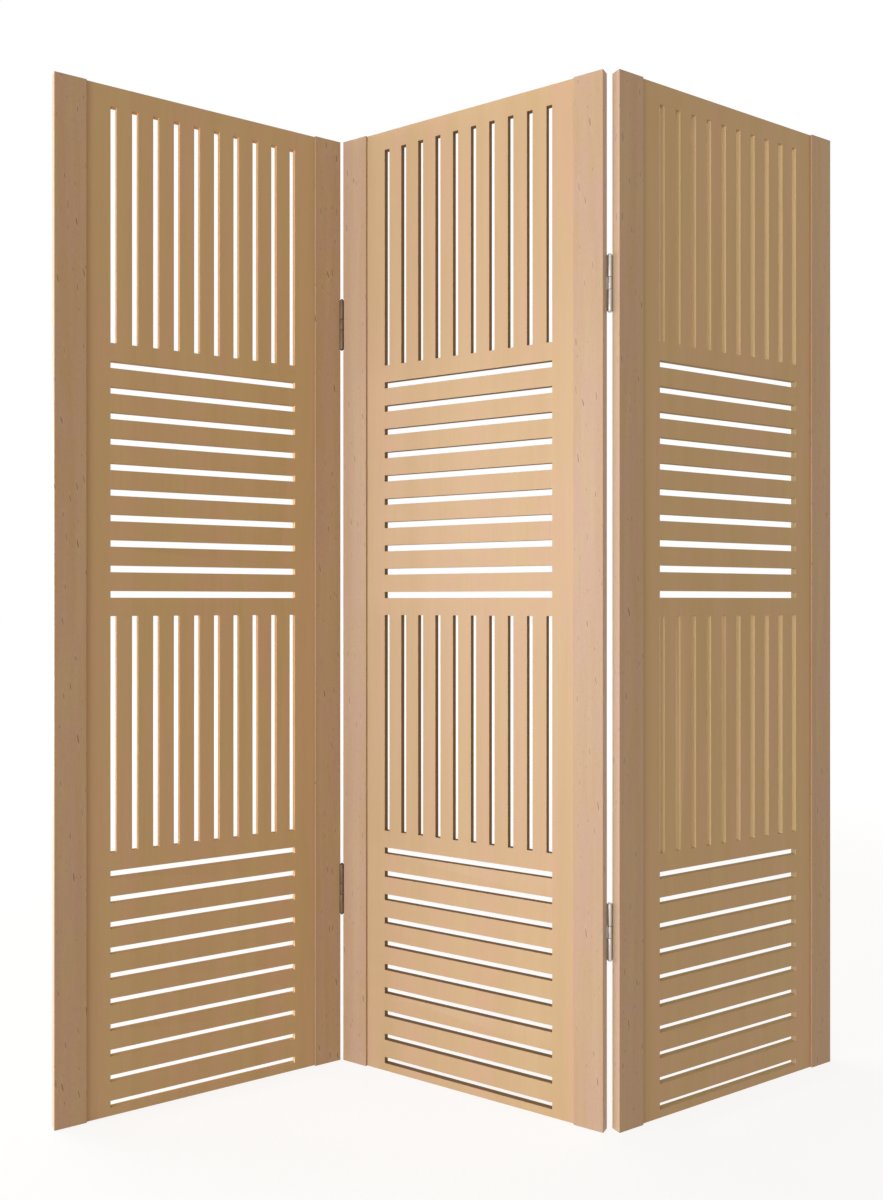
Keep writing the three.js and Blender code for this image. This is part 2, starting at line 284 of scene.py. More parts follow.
def stile_wood(name, leaf, seed, finish, painted_light):
    """Steamed beech: straight grain, soft pink and yellow clouds, faint bands and
    scattered leaning dark flecks, some with a pale rim."""
    g = Graph(bpy.data.materials.new(name))
    own = g.leaf_millimetres(leaf)
    outer = abs(g.axes(own)[0]).ramp(*OUTER_EDGE)
    point = g.plus(own, [seed * step for step in STILE_STEP])
    slant, drift = g.swayed(point, across=0.006, along=0.0022, reach=22.0)
    bands = g.noise(slant, across=0.055, along=0.0016)
    grain = g.noise(slant, across=1.1, along=0.012, detail=3.0, roughness=0.6)
    pores = g.noise(slant, across=3.2, along=0.16, detail=1.0)
    cloud = g.noise(slant, across=0.04, along=0.009)

    x, y, z = g.axes(point)
    wander = (g.noise(point, across=0.1, along=0.05, detail=1.0) - 0.5) * 5.0
    side = x + y * FLECK_DEPTH_SLOPE
    leaning = side + wander + z * FLECK_LEAN
    mark, rim, fate = flecks(g, leaning, z, **LARGE_FLECKS)
    chosen = fate[0].over(1 - finish.fleck_share)
    fleck = mark * chosen * (0.5 + fate[2] * 0.5)
    speck, _, fate = flecks(g, leaning + SECOND_NET, z + wander, **SMALL_FLECKS)
    speck = speck * fate[0].over(1 - SMALL_FLECK_SHARE) * SMALL_FLECK_SHADE
    fleck = fleck.maths("MAXIMUM", speck)
    ray, _, fate = flecks(g, side + drift, z, **RAYS)
    ray = ray * fate[0].over(1 - RAY_SHARE)

    tone = g.layered(
        finish.stile_pale,
        (bands.ramp(0.3, 0.7), finish.stile_warm),
        (cloud.ramp(0.38, 0.66) * 0.7, finish.stile_pink),
        (grain.ramp(0.42, 0.75) * 0.16, finish.stile_grain),
        (ray * 0.1, finish.fleck_colour),
        (rim * chosen * 0.22, finish.fleck_rim),
        (fleck * 0.75, finish.fleck_colour),
        # painted highlight: the narrow outer edges of the stiles are paled
        # painted light: painted sheen pales the centre leaf and painted light pales the right
        # leaf
        (outer * finish.edge_painted_light + painted_light, finish.painted_light_tone))
    height = grain * -0.02 + pores * -0.012 + fleck * -0.06
    return g.surface({
        "Base Color": tone,
        "Roughness": 0.48 + grain * 0.12 + fleck * 0.1,
        "Specular IOR Level": finish.sheen,
    }, height)


def board_wood(name, leaf, seed, finish, painted_light, centre_wall_painted_shade, right_wall_painted_shade, slot_end_painted_shade):
    """A smooth golden board: broad upright bands and fine faint streaks. Painted
    shade may darken or dull the walls of its slots and dull the ends of its level
    slots further, and painted light may pale the whole board."""
    g = Graph(bpy.data.materials.new(name))
    own = g.leaf_millimetres(leaf)
    from_middle, depth, height_up = g.axes(own)
    sawn = 1 - abs(depth).ramp(*SAWN_DEPTH)
    upright_field = (height_up / (2 * FIELD_PITCH)).maths("FRACT").over(LEVEL_SHARE)
    slot_end = abs(from_middle).over(SLOT_END) * (1 - upright_field)
    point = g.plus(own, [seed * step for step in BOARD_STEP])
    slant, _ = g.swayed(point, across=0.004, along=0.0016, reach=34.0)
    bands = g.noise(slant, across=0.03, along=0.0008)
    streaks = g.noise(slant, across=0.42, along=0.006, detail=3.0, roughness=0.6)
    pores = g.noise(slant, across=2.6, along=0.1, detail=1.0)
    cloud = g.noise(slant, across=0.022, along=0.0028)

    tone = g.layered(
        finish.board_gold,
        (bands.ramp(0.3, 0.7), finish.board_pale),
        (cloud.ramp(0.4, 0.66) * 0.7, finish.board_blush),
        (streaks.ramp(0.45, 0.8) * 0.12, finish.board_grain),
        # painted light: painted sheen pales the centre board and painted light pales the right
        # board
        (painted_light, finish.painted_light_tone),
        # painted shade: the slot walls of the centre board are darkened
        (sawn * centre_wall_painted_shade, finish.centre_wall_shade_colour),
        # painted shade: the slot walls of the right board are dulled
        (sawn * right_wall_painted_shade, finish.right_wall_shade_colour),
        # painted shade: the ends of the right board's level slots are dulled further
        (sawn * slot_end * slot_end_painted_shade, finish.slot_end_shade_colour))
    height = streaks * -0.012 + pores * -0.008
    return g.surface({
        "Base Color": tone,
        "Roughness": 0.5 + streaks * 0.1 + sawn * 0.4,
        "Specular IOR Level": finish.sheen,
    }, height)


def hinge_steel(name, colour, dullness):
    """Steel with fine rubbed lines and a few dull patches."""
    g = Graph(bpy.data.materials.new(name))
    point = g.times(g.object_place(), (1 / MM,) * 3)
    lines = g.noise(point, across=0.4, along=6.0, detail=3.0)
    patches = g.noise(point, across=0.15, along=0.09)
    tone = g.mix(patches.ramp(0.4, 0.8) * 0.5, rgba(colour), rgba(colour, 0.8))
    return g.surface({
        "Base Color": tone,
        "Metallic": 1.0,
        "Roughness": dullness + lines * 0.12 + patches * 0.08,
    }, lines * -0.004)


def joint_steel(joint, finish):
    """The steel of a joint's hinges: a darker, duller copy painted as shade on the left,
    polished on the right.
    """
    if joint == "left":
        # painted shade: the left joint's hinges get a darker, duller copy of the steel for the
        # shade of their gap
        name, colour, dullness = "painted_shade_steel", finish.painted_shade_steel, finish.painted_shade_dullness
    else:
        name, colour, dullness = "polished_steel", finish.steel, finish.steel_dullness
    return bpy.data.materials.get(name) or hinge_steel(name, colour, dullness)


# ------------------------------------------------------------ turned surfaces

SHARP_ANGLE = math.radians(35)  # steel edges sharper than this stay crisp


def closed_rows(count, sides):
    """Quads between the rings of a grid whose rings close on themselves."""
    ring = np.arange(sides)
    after = (ring + 1) % sides
    rows = np.arange(count - 1)[:, None] * sides
    quads = np.stack([rows + ring, rows + after, rows + sides + after, rows + sides + ring], -1)
    return quads.reshape(-1, 4)


def turned(profile, sides, change=None):
    """A surface turned about z from a profile of (radius, height) rows whose two
    ends lie on the axis: x = r cos a, y = r sin a, z = h. A change may first move
    the radii and heights by row and angle."""
    radius, height = np.array(profile, float).T
    angle = np.arange(sides) / sides * 2 * np.pi
    radius = np.repeat(radius[:, None], sides, 1)
    height = np.repeat(height[:, None], sides, 1)
    if change:
        radius, height = change(radius, height, angle)
    points = np.stack([radius * np.cos(angle), radius * np.sin(angle), height], -1)
    rings = points[1:-1].reshape(-1, 3)
    poles = points[[0, -1], 0]
    last = len(rings) - sides
    ring = np.arange(sides)
    after = (ring + 1) % sides
    start = np.stack([np.full(sides, len(rings)), after, ring], -1)
    end = np.stack([np.full(sides, len(rings) + 1), last + ring, last + after], -1)
    walls = closed_rows(len(points) - 2, sides)
    faces = [*walls.tolist(), *start.tolist(), *end.tolist()]
    return np.concatenate([rings, poles]), faces


def lofted(loops):
    """A closed surface through equal loops of points, with a flat face at each end."""
    loops = np.array(loops, float)
    count, sides = loops.shape[:2]
    faces = closed_rows(count, sides).tolist()
    faces.append(list(range(sides))[::-1])
    faces.append(list(range((count - 1) * sides, count * sides)))
    return loops.reshape(-1, 3), faces


def arc(centre, radius, start, end, steps):
    """Points on a circle from one angle to another, in degrees."""
    angle = np.radians(np.linspace(start, end, steps))
    return np.stack([centre[0] + radius * np.cos(angle), centre[1] + radius * np.sin(angle)], -1)


def new_mesh(name, points, faces):
    mesh = bpy.data.meshes.new(name)
    mesh.from_pydata(np.asarray(points).tolist(), [], faces)
    tidy = bmesh.new()
    tidy.from_mesh(mesh)
    bmesh.ops.recalc_face_normals(tidy, faces=tidy.faces)
    tidy.to_mesh(mesh)
    tidy.free()
    return mesh


def new_object(name, data):
    made = bpy.data.objects.new(name, data)
    bpy.context.scene.collection.objects.link(made)
    return made


def smooth_shaded(mesh):
    mesh.polygons.foreach_set("use_smooth", np.ones(len(mesh.polygons), bool))
    mesh.set_sharp_from_angle(angle=SHARP_ANGLE)


# -------------------------------------------------------------------- hinges

# Sizes of the drawn hinge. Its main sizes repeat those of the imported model, and the
# small rims, chamfers and threads are finer than that model.
HINGE_LENGTH = 91 * MM
MIDDLE_KNUCKLE = 19 * MM
KNUCKLE_GAP = 0.5 * MM
KNUCKLE_RADIUS = 4 * MM
KNUCKLE_RIM = 0.45 * MM  # rounding of a knuckle's ends
BORE_RADIUS = 2.3 * MM
PIN_RADIUS = 2 * MM
PIN_TIP_RADIUS = 3 * MM
PIN_TIP_LENGTH = 2 * MM
PIN_SHOULDER = 0.3 * MM  # from a knuckle to the tip
PIN_RIM = 0.3 * MM  # rounding under a tip
DOME_STEPS = 12
FLAP_WIDTH = 16 * MM
FLAP_FACE = 0.6 * MM  # from the pin's axis to the near face of a flap
FLAP_THICKNESS = 1.5 * MM
FLAP_CORNER = 2.5 * MM
FLAP_EDGE = 0.15 * MM  # chamfer round a flap
SWING_ROOM = 0.4 * MM
SCREW_LINE = 10 * MM  # from the axis to the screws
SCREW_END = 13 * MM  # from the end of a flap to its first screw
SCREW_LENGTH = 14 * MM
SCREW_HEAD = 3 * MM
SCREW_RIM = 0.12 * MM
SCREW_NECK = (1.7 * MM, 1.4 * MM)  # radius and height where the head's cone ends
SCREW_SHANK = 1.6 * MM
SCREW_ROOT = 1.15 * MM  # radius at the bottom of the thread
THREAD_PITCH = 1.3 * MM
THREAD_ROWS = 5  # rows of points in one turn of the thread
THREAD_START = 4.2 * MM  # below the head
THREAD_STEEPNESS = 1.5  # above 1 the thread's root is flat
POINT_LENGTH = 3 * MM
POINT_CURVE = 0.8  # below 1 the point bulges
LAST_ROW = 0.3 * MM  # from the last row of the thread to the point
RECESS_DEPTH = 1 * MM
RECESS_REACH = 1.75 * MM
RECESS_WIDTH = 0.95 * MM
RECESS_WALL = 0.2 * MM  # how far the wall of an arm leans
RECESS_TAPER = 0.9 * MM  # from the end of an arm to its full depth
FINE_TOP = 1.15 * RECESS_REACH  # radius of the head's finely divided middle
FINE_RINGS = 12
SCREW_TURNS = (17, 70, 123)  # how the recesses of a flap's screws are turned, in degrees
CUT_MARGIN = 0.5 * MM  # how far a cut starts outside what it cuts
SINK_PAST = 0.1 * MM  # how far a screw's sink runs on behind its flap
ROUND_SIDES = 64
BORE_SIDES = 48
SINK_SIDES = 40
SCREW_SIDES = 32

# One flap in each hinge of a joint: whose name it bears, the leaf that carries it, how
# many degrees it is turned in that leaf's frame, if it is turned over, and its knuckles
HingeHalf = namedtuple("HingeHalf", "joint owner leaf turn turned_over knuckles")
HINGE_HALVES = (
    HingeHalf("left", "leaf", "left", -90, True, "middle"),
    HingeHalf("left", "centre", "centre", -90, False, "outer"),
    HingeHalf("right", "centre", "centre", 0, True, "outer"),
    HingeHalf("right", "leaf", "right", 180, False, "middle"),
)


def rotation(axis, angle):
    """A 4 x 4 turn about the x or z axis."""
    return np.array(Matrix.Rotation(angle, 4, axis))


def hinge_place(half, level):
    """The matrix from the drawing of a flap, with its pin on z, to its place."""
    axis = next(j["pos_m"] for j in frame["joints"] if j["name"] == f"{half.joint}_fold")
    height = box_centre(f"{half.joint}_{level}_hinge_pin")[2]
    place = np.eye(4)
    place[:3, 3] = (axis[0], axis[1], height)
    own_turn = leaf_frame(half.leaf)[1] + math.radians(half.turn)
    over = math.pi if half.turned_over else 0.0
    return place @ rotation("Z", own_turn) @ rotation("X", over)


def placed_halves():
    """Both halves of all hinges, each with its hinge's name and its place."""
    for half in HINGE_HALVES:
        for level in LEVELS:
            yield half, f"{half.joint}_{level}_hinge", hinge_place(half, level)


def moved(points, matrix):
    return np.asarray(points) @ matrix[:3, :3].T + matrix[:3, 3]


def knuckle_spans(kind):
    """From where to where the knuckles of a flap reach along the pin."""
    end = HINGE_LENGTH / 2
    middle = MIDDLE_KNUCKLE / 2
    if kind == "middle":
        return [(-middle, middle)]
    return [(-end, -middle - KNUCKLE_GAP), (middle + KNUCKLE_GAP, end)]


def swing_spans(kind):
    """The stretches where the other flap's knuckles turn."""
    other = knuckle_spans("middle" if kind == "outer" else "outer")
    end = HINGE_LENGTH / 2
    return [(low - (2 * SWING_ROOM if low <= -end else KNUCKLE_GAP),
             high + (2 * SWING_ROOM if high >= end else KNUCKLE_GAP)) for low, high in other]


def knuckle(low, high):
    """A barrel about z with softly rounded rims."""
    corner = (KNUCKLE_RADIUS - KNUCKLE_RIM, 0.0)
    rim = arc(corner, KNUCKLE_RIM, start=90, end=0, steps=5)
    upper = rim + (0.0, high - KNUCKLE_RIM)
    lower = rim[::-1] * (1, -1) + (0.0, low + KNUCKLE_RIM)
    return turned([(0.0, high), *upper, *lower, (0.0, low)], ROUND_SIDES)


def plate():
    """A flat flap: its rounded outline, chamfered along both faces."""
    end = HINGE_LENGTH / 2

    def outline(inset, y):
        corner = FLAP_CORNER - inset
        far = -FLAP_WIDTH + FLAP_CORNER
        turn = end - FLAP_CORNER
        loop = np.concatenate([
            [(-inset, -end + inset), (-inset, end - inset)],
            arc((far, turn), corner, start=90, end=180, steps=9),
            arc((far, -turn), corner, start=180, end=270, steps=9),
        ])
        return np.stack([loop[:, 0], np.full(len(loop), y), loop[:, 1]], -1)

    back = FLAP_FACE + FLAP_THICKNESS
    return lofted([
        outline(FLAP_EDGE, FLAP_FACE), outline(0.0, FLAP_FACE + FLAP_EDGE),
        outline(0.0, back - FLAP_EDGE), outline(FLAP_EDGE, back),
    ])


def bar(radii, heights, sides):
    """A plain round bar or cone about z, to cut with."""
    ends = [(0.0, heights[0]), *zip(radii, heights), (0.0, heights[-1])]
    return turned(ends, sides)


def block(low, high):
    """A rectangular block between two corners, to cut with."""
    (x0, y0, z0), (x1, y1, z1) = low, high
    loop = [(x0, y0), (x1, y0), (x1, y1), (x0, y1)]
    return lofted([[(x, y, z) for x, y in loop] for z in (z0, z1)])


def joined(shells):
    """Several closed surfaces as one list of points and faces."""
    points, faces = [], []
    for own_points, own_faces in shells:
        shift = sum(len(p) for p in points)
        points.append(np.asarray(own_points))
        faces += [[shift + i for i in face] for face in own_faces]
    return np.concatenate(points), faces


def combined(mesh, operation, shell):
    """The mesh after one exact boolean with a closed surface."""
    body = new_object("boolean_body", mesh)
    tool = new_object("boolean_tool", new_mesh("boolean_tool", *shell))
    step = body.modifiers.new("boolean", "BOOLEAN")
    step.operation = operation
    step.solver = "EXACT"
    step.object = tool
    graph = bpy.context.evaluated_depsgraph_get()
    result = bpy.data.meshes.new_from_object(body.evaluated_get(graph))
    for used in (body, tool):
        old = used.data
        bpy.data.objects.remove(used)
        bpy.data.meshes.remove(old)
    return result


def screw_heights():
    reach = HINGE_LENGTH / 2 - SCREW_END
    return (-reach, 0.0, reach)


def flap_mesh(kind):
    """A flap with its knuckles: the plate is cleared where the other knuckles turn,
    sunk for the screws, joined to its barrels and bored for the pin."""
    back = FLAP_FACE + FLAP_THICKNESS
    cuts = []
    for low, high in swing_spans(kind):
        near = (-KNUCKLE_RADIUS - SWING_ROOM, -CUT_MARGIN, low)
        far = (CUT_MARGIN, back + CUT_MARGIN, high)
        cuts.append(block(near, far))
    room = SWING_ROOM / 2
    slope = (SCREW_HEAD - SCREW_SHANK) / FLAP_THICKNESS
    radii = (SCREW_HEAD + room + slope * CUT_MARGIN, SCREW_SHANK + room - slope * SINK_PAST)
    points, faces = bar(radii, (-CUT_MARGIN, FLAP_THICKNESS + SINK_PAST), SINK_SIDES)
    sink = moved(points, rotation("X", -math.pi / 2))
    for height in screw_heights():
        cuts.append((sink + (-SCREW_LINE, FLAP_FACE, height), faces))
    mesh = combined(new_mesh("flap", *plate()), "DIFFERENCE", joined(cuts))
    barrels = joined([knuckle(*span) for span in knuckle_spans(kind)])
    mesh = combined(mesh, "UNION", barrels)
    bore = bar((BORE_RADIUS, BORE_RADIUS), (HINGE_LENGTH, -HINGE_LENGTH), BORE_SIDES)
    return combined(mesh, "DIFFERENCE", bore)


def pin_shell():
    """A pin with a domed tip past each end of the knuckles. A tip is a quarter of an
    ellipse, with its rim rounded under into the shank."""
    shoulder = HINGE_LENGTH / 2 + PIN_SHOULDER
    angle = np.radians(np.linspace(90, 0, DOME_STEPS))
    dome = np.stack([
        PIN_TIP_RADIUS * np.cos(angle),
        shoulder + PIN_RIM + (PIN_TIP_LENGTH - PIN_RIM) * np.sin(angle),
    ], -1)
    corner = (PIN_TIP_RADIUS - PIN_RIM, shoulder + PIN_RIM)
    under = arc(corner, PIN_RIM, start=-20, end=-90, steps=4)
    upper = np.concatenate([dome, under, [(PIN_RADIUS, shoulder)]])
    return turned([*upper, *(upper[::-1] * (1, -1))], ROUND_SIDES)


def screw_shell():
    """A countersunk wood screw: head at z = 0, point towards +z. The recess sinks
    the top by the wider of two crossed tapering arms, and the thread draws the
    radius in by a triangular wave of height and angle."""
    top = [(radius, 0.0) for radius in np.linspace(0, FINE_TOP, FINE_RINGS)]
    head = [(SCREW_HEAD - SCREW_RIM, 0.0), (SCREW_HEAD, SCREW_RIM), SCREW_NECK,
            (SCREW_SHANK, FLAP_THICKNESS), (SCREW_SHANK, THREAD_START)]
    steps = np.arange(THREAD_START, SCREW_LENGTH - LAST_ROW, THREAD_PITCH / THREAD_ROWS)[1:]
    taper = np.clip((SCREW_LENGTH - steps) / POINT_LENGTH, 0, 1) ** POINT_CURVE
    thread = list(zip(SCREW_SHANK * taper, steps))

    def shaped(radius, height, angle):
        x, y = radius * np.cos(angle), radius * np.sin(angle)
        sunk = np.zeros_like(radius)
        for along, across in ((x, y), (y, x)):
            arm = np.clip((RECESS_WIDTH / 2 - abs(across)) / RECESS_WALL + 1, 0, 1)
            depth = np.clip((RECESS_REACH - abs(along)) / RECESS_TAPER, 0, 1)
            sunk = np.maximum(sunk, arm * depth)
        on_top = height == 0.0
        wave = abs(((height / THREAD_PITCH - angle / (2 * np.pi)) % 1) * 2 - 1)
        run_in = np.clip((height - THREAD_START) / THREAD_PITCH, 0, 1)
        cut = run_in * np.clip(THREAD_STEEPNESS * wave, 0, 1)
        groove = (1 - SCREW_ROOT / SCREW_SHANK) * cut
        return radius * (1 - groove), np.where(on_top, sunk * RECESS_DEPTH, height)

    return turned([*top, *head, *thread, (0.0, SCREW_LENGTH)], SCREW_SIDES, shaped)


def steel_piece(node, mesh, half, finish):
    """Puts a finished mesh in a CAD node's stead, riding on the body of its leaf."""
    smooth_shaded(mesh)
    mesh.materials.append(joint_steel(half.joint, finish))
    piece = new_object(f"finished_{node}", mesh)
    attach(piece, f"{half.leaf}_leaf")
    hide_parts(node)


# ------------------------------------------------------------------ dressing

MERGE_REACH = 0.005 * MM
ROUNDED_ANGLE = math.radians(30)  # wooden edges sharper than this are rounded


def leaf_painted_light(leaf, finish):
    """How much painted light pales a leaf's wood beyond the left leaf's: painted sheen on the
    centre leaf, painted light on the right leaf.
    """
    paler = {"centre": finish.centre_painted_light, "right": finish.right_painted_light}
    return paler.get(leaf, 0.0)


def dress(node_name, material):
    node = frame["nodes"][node_name]
    node.data.materials.clear()
    node.data.materials.append(material)
    return node


def soften(node, width):
    """Merges a node's loose triangles and rounds its sharp edges with live modifiers."""
    weld = node.modifiers.new("merge", "WELD")
    weld.merge_threshold = MERGE_REACH
    rounding = node.modifiers.new("rounded_edges", "BEVEL")
    rounding.width = width
    rounding.segments = 2
    rounding.limit_method = "ANGLE"
    rounding.angle_limit = ROUNDED_ANGLE
    rounding.use_clamp_overlap = True


# --------------------------------------------------------------------- stage

SENSOR_WIDTH = 36.0  # in millimetres
CAMERA_SHIFT = (0.01655, 0.00146)
SOFTBOX_HEIGHT = 2.4
KEY_COLOUR = (0.97, 0.99, 1.12)
ROOM_COLOUR = (1.0, 0.96, 0.85)
WHITE = (1.0, 1.0, 1.0)
FLOOR_GREY = (0.8, 0.8, 0.8)
FLOOR_REACH = 40.0
FLOOR_GLOW = 0.42  # light that the floor throws on the screen
FLOOR_WHITE = 0.84  # what the camera sees beyond that
FAR_WHITE = 0.15  # what it sees further out beyond that
FAR_SPAN = (1.0, 16.0)  # squares of the distances where that starts and is full
GLOW_SHARE = 0.65  # the rest of the floor takes shadows


def new_camera(stage):
    """A level camera that frames the whole screen."""
    lens = bpy.data.cameras.new("camera")
    lens.lens = stage.lens
    lens.sensor_width = SENSOR_WIDTH
    lens.shift_x, lens.shift_y = CAMERA_SHIFT
    camera = new_object("camera", lens)
    camera.location = stage.camera_place
    camera.rotation_euler = (math.radians(90), 0.0, stage.camera_turn)
    return camera


def softbox(name, azimuth, distance, width, power, colour):
    """A tall wide soft lamp that stands on the floor and faces the screen.
    Azimuth 0 stands it on the -Y side and 90 on the +X side."""
    light = bpy.data.lights.new(name, "AREA")
    light.shape = "RECTANGLE"
    light.size = width
    light.size_y = SOFTBOX_HEIGHT
    light.color = colour
    light.energy = power
    lamp = new_object(name, light)
    turn = math.radians(azimuth)
    place = (distance * math.sin(turn), -distance * math.cos(turn), SOFTBOX_HEIGHT / 2)
    lamp.location = place
    lamp.rotation_euler = (math.radians(90), 0.0, turn)


def seen_as_white(g):
    """1 for rays that show the background: straight, mirrored or through glass."""
    rays = g.node("ShaderNodeLightPath").outputs
    names = ("Is Camera Ray", "Is Glossy Ray", "Is Transmission Ray")
    straight, mirrored, through = (Value(g, rays[name]) for name in names)
    return straight.maths("MAXIMUM", mirrored).maths("MAXIMUM", through)


def white_room(strength):
    """A world that lights the screen evenly and looks plain white itself."""
    g = Graph(bpy.data.worlds.new("white_room"))
    room = {"Color": rgba(ROOM_COLOUR), "Strength": strength}
    white = {"Color": rgba(WHITE), "Strength": 1.0}
    lights = [g.node("ShaderNodeBackground", sockets=light) for light in (room, white)]
    world = g.blend(seen_as_white(g), *lights)
    g.node("ShaderNodeOutputWorld", sockets={0: world.outputs[0]})
    return g.owner


def pale_floor():
    """A floor that glows nearly white and takes a faint shadow near the screen."""
    g = Graph(bpy.data.materials.new("floor_white"))
    x, y, _ = g.axes(g.object_place())
    far = (x * x + y * y).ramp(*FAR_SPAN)
    strength = FLOOR_GLOW + seen_as_white(g) * (FLOOR_WHITE + far * FAR_WHITE)
    diffuse = g.node("ShaderNodeBsdfDiffuse", sockets={"Color": rgba(FLOOR_GREY)})
    glow = g.node("ShaderNodeEmission", sockets={"Strength": strength})
    floor = g.blend(GLOW_SHARE, diffuse, glow)
    g.node("ShaderNodeOutputMaterial", sockets={0: floor.outputs[0]})
    mesh = bpy.data.meshes.new("floor")
    reach = FLOOR_REACH
    corners = [(-reach, -reach, 0), (reach, -reach, 0), (reach, reach, 0), (-reach, reach, 0)]
    mesh.from_pydata(corners, [], [(0, 1, 2, 3)])
    mesh.materials.append(g.owner)
    return new_object("floor", mesh)


# ---------------------------------------------------------------- properties


def colour_property(name, description, code):
    return bpy.props.FloatVectorProperty(
        name=name, description=description, default=screen_colour(code),
        subtype="COLOR", size=3, min=0.0, max=1.0)


def share_property(name, description, share):
    return bpy.props.FloatProperty(
        name=name, description=description, default=share,
        min=0.0, max=1.0, subtype="FACTOR")


def power_property(name, description, watts):
    return bpy.props.FloatProperty(
        name=name, description=description, default=watts,
        min=0.0, subtype="POWER", unit="POWER")


class FinishSettings(bpy.types.PropertyGroup):
    """Colours and finishes of the screen's woods and steel, with their painted light and shade
    """

    stile_pale: colour_property("Stile, pale", "Lightest tone of the stiles", "#cfaa7d")
    stile_warm: colour_property("Stile, warm", "Warmer tone of the stiles", "#c9a072")
    stile_pink: colour_property("Stile, pink", "Pinkish clouds in the stiles", "#cda283")
    stile_grain: colour_property("Stile, grain", "Grain lines of the stiles", "#a97c58")
    fleck_colour: colour_property("Flecks", "Short dark flecks of the stiles", "#5e3b27")
    fleck_rim: colour_property("Fleck rims", "Pale rims beside the flecks", "#dcbf9c")
    # painted light: the pale tone that painted sheen and painted highlights lay on the wood
    painted_light_tone: colour_property("Painted_pale_tone", "What the paler parts of the woods lean to", "#f2ece2")
    board_gold: colour_property("Board, gold", "Golden bands of the boards", "#d0a870")
    board_pale: colour_property("Board, pale", "Paler bands of the boards", "#d5ae77")
    board_blush: colour_property("Board, blush", "Pinkish clouds in the boards", "#d8a97d")
    board_grain: colour_property("Board, grain", "Fine streaks of the boards", "#b58b54")
    # painted shade: the colour laid on the centre board's slot walls
    centre_wall_shade_colour: colour_property("Cuts", "Shaded slot walls of the centre leaf", "#4a2f12")
    # painted shade: the colour laid on the right board's slot walls
    right_wall_shade_colour: colour_property("Slot walls", "Dull slot walls of the right leaf", "#c3b387")
    # painted shade: the colour laid on the ends of the right board's level slots
    slot_end_shade_colour: colour_property("Slot ends", "Dull slot ends of the right leaf", "#8a7656")
    steel: colour_property("Steel", "Hinges of the right joint", "#d2cfc9")
    # painted shade: a darker copy of the steel for the left joint's hinges
    painted_shade_steel: colour_property("Darkened steel", "Hinges of the left joint", "#7a6450")
    steel_dullness: share_property(
        "Steel dullness", "Lowest roughness of the polished steel", 0.26)
    # roughness of the left joint's shade-painted steel, high so that it catches little highlight
    painted_shade_dullness: share_property(
        "Darkened dullness", "Lowest roughness of the darkened steel", 0.42)
    fleck_share: share_property(
        "Fleck share", "Share of the places in a stile that hold a fleck", 0.6)
    # painted sheen on the centre leaf's wood
    centre_painted_light: share_property(
        "Centre paleness", "How much paler the wood of the centre leaf is", 0.065)
    # painted light on the right leaf's wood
    right_painted_light: share_property(
        "Right paleness", "How much paler the wood of the right leaf is", 0.02)
    # painted highlight on the stiles' narrow outer edges
    edge_painted_light: share_property(
        "Edge paleness", "How much paler the stiles' narrow outer edges are", 0.12)
    # painted shade: how strongly the centre board's slot walls are darkened
    centre_wall_painted_shade: share_property(
        "Cut shade", "How dark the slot walls of the centre leaf are", 0.5)
    # painted shade: how strongly the right board's slot walls are dulled
    right_wall_painted_shade: share_property(
        "Slot wall shade", "How dull the slot walls of the right leaf are", 0.5)
    # painted shade: how strongly the ends of the right board's level slots are dulled
    slot_end_painted_shade: share_property(
        "Slot end shade", "How dull the slot ends of the right leaf are", 0.65)
    sheen: share_property(
        "Sheen", "Strength of the wood's satin reflection", 0.5)


class SizeSettings(bpy.types.PropertyGroup):
    """Sizes that the CAD model leaves to the dressing"""

    wood_rounding: bpy.props.FloatProperty(
        name="Wood rounding", description="Radius worn into the sharp edges of the wood",
        default=0.35 * MM, min=0.0, max=2 * MM, subtype="DISTANCE", unit="LENGTH")


class StageSettings(bpy.types.PropertyGroup):
    """Camera, lamps and floor"""

    camera_place: bpy.props.FloatVectorProperty(
        name="Camera", description="Where the camera stands",
        default=(-0.06615, -1.73144, 0.84875), size=3, subtype="XYZ", unit="LENGTH")
    camera_turn: bpy.props.FloatProperty(
        name="Turn", description="How far the level camera is turned to its left",
        default=math.radians(0.4066), subtype="ANGLE", unit="ROTATION")
    lens: bpy.props.FloatProperty(
        name="Lens", description="Focal length for a long side of 36 mm",
        default=29.967, min=10.0, max=200.0, unit="CAMERA")
    key_power: power_property("Key", "Power of the softbox in front on the left", 815.0)
    side_power: power_property("Side", "Power of the softbox behind on the left", 600.0)
    room_light: bpy.props.FloatProperty(
        name="Room", description="Strength of the even light from all around",
        default=0.395, min=0.0)


# ----------------------------------------------------------------- operators


class FOLDING_SCREEN_OT_dress_stiles(bpy.types.Operator):
    """Give the six stiles their beech and soften their edges"""

    bl_idname = "folding_screen.dress_stiles"
    bl_label = "Stiles"

    def execute(self, context):
        finish = context.scene.screen_finish
        for i, leaf in enumerate(LEAVES):
            for j, side in enumerate(SIDES):
                name = f"{leaf}_leaf_{side}_stile"
                # painted sheen on the centre leaf and painted light on the right leaf
                painted_light = leaf_painted_light(leaf, finish)
                wood = stile_wood(f"{name}_beech", leaf, 1 + 2 * i + j, finish, painted_light)
                soften(dress(name, wood), context.scene.screen_sizes.wood_rounding)
        return {"FINISHED"}


